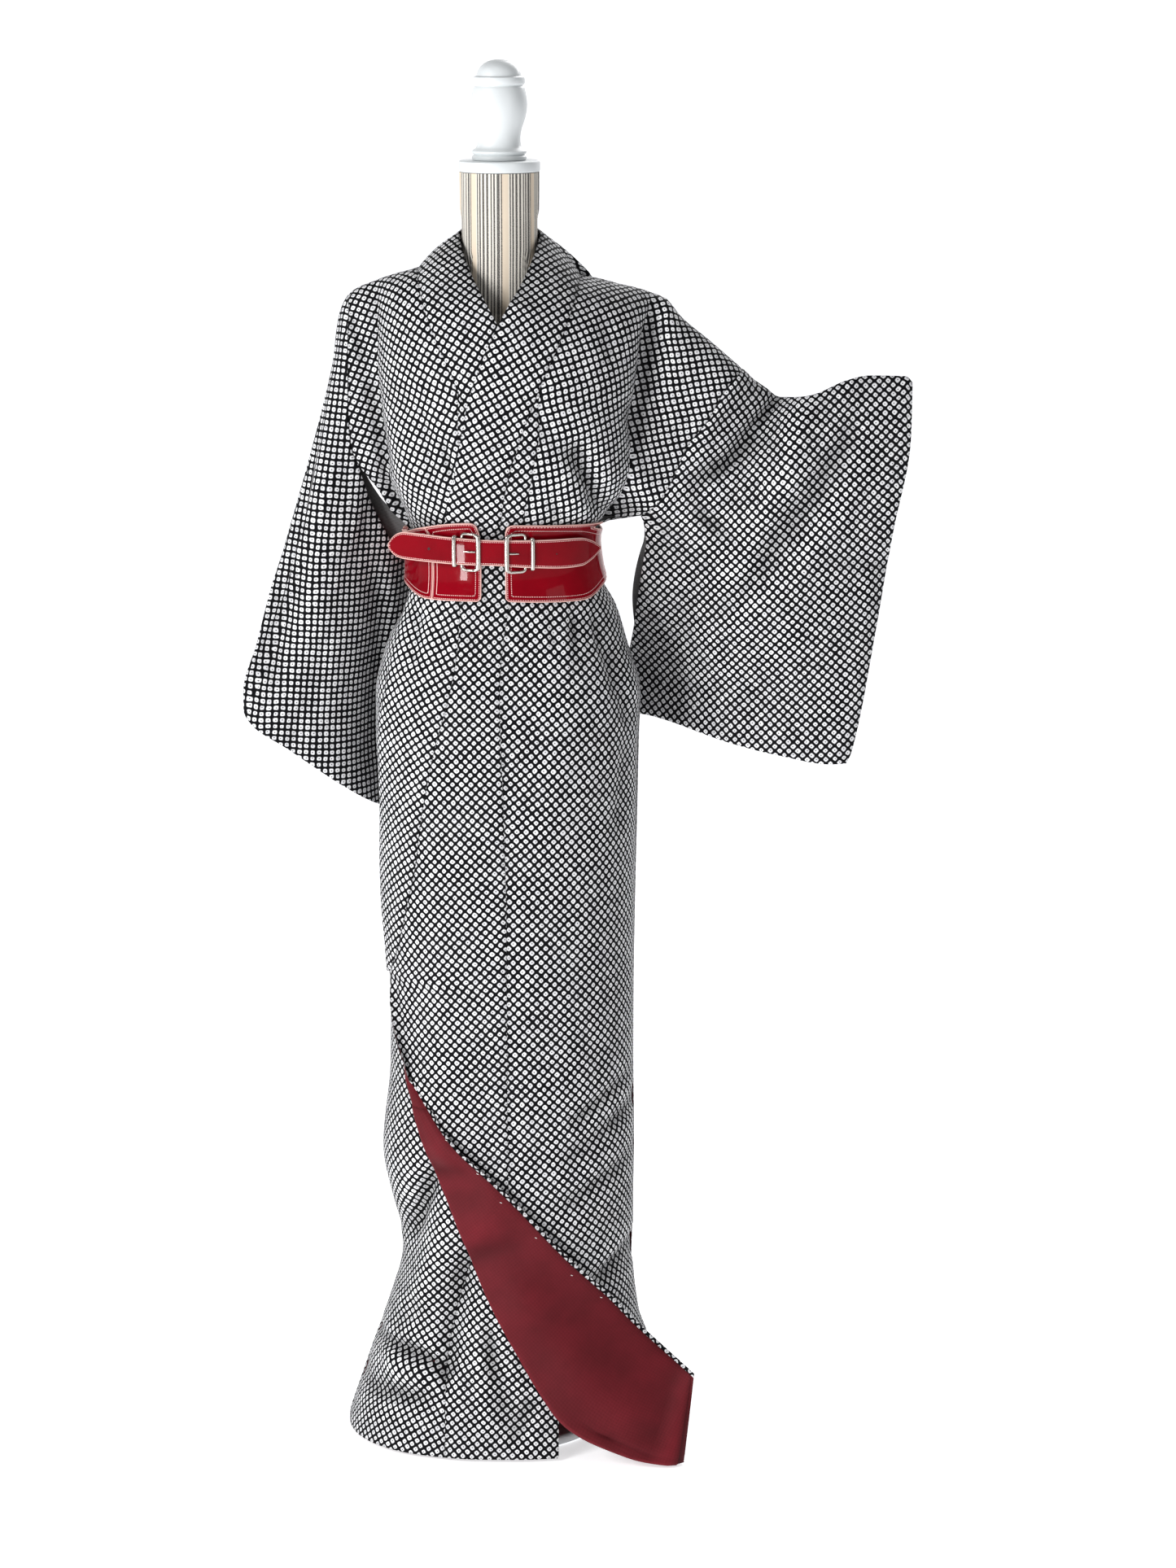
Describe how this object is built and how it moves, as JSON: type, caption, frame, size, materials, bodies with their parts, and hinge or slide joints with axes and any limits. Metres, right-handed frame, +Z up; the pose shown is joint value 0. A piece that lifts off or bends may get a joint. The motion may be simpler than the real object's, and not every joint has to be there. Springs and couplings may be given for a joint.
{
  "type": "komon kimono on a dress form",
  "caption": "Full-length small-patterned kimono with long bag sleeves, one front corner turned back, worn with a wide buckled belt on a limbless dress form.",
  "frame": {"origin": "centre of the underside of the form's base, on the floor", "axes": "+Z up, -Y towards the viewer in front of the garment, +X towards the wearer's left"},
  "size_m": [0.809, 0.339, 1.696],
  "materials": {
    "komon_cloth": "soft silk crepe with a small white dotted-square pattern on black",
    "lining": "dark red plain silk",
    "patent_leather": "red patent leather with pink edges and stitching",
    "buckle_metal": "polished nickel",
    "ticking": "striped ticking over a padded torso",
    "painted_wood": "satin white paint on turned wood",
    "pole_metal": "white powder coat"
  },
  "bodies": {
    "root": {"body_left": "komon_cloth", "body_right": "komon_cloth", "okumi_left": "komon_cloth", "okumi_right": "komon_cloth", "collar": "komon_cloth", "sleeve_left": "komon_cloth", "sleeve_right": "komon_cloth", "corner_lining": "lining", "belt_panel_left": "patent_leather", "belt_panel_right": "patent_leather", "belt_back": "patent_leather", "belt_strap": "patent_leather", "buckle_left": "buckle_metal", "buckle_right": "buckle_metal", "prong_left": "buckle_metal", "prong_right": "buckle_metal", "loop_left": "buckle_metal", "loop_right": "buckle_metal", "form_body": "ticking", "form_cap": "painted_wood", "form_finial": "painted_wood", "form_base": "painted_wood", "form_pole": "pole_metal"}
  },
  "joints": []
}
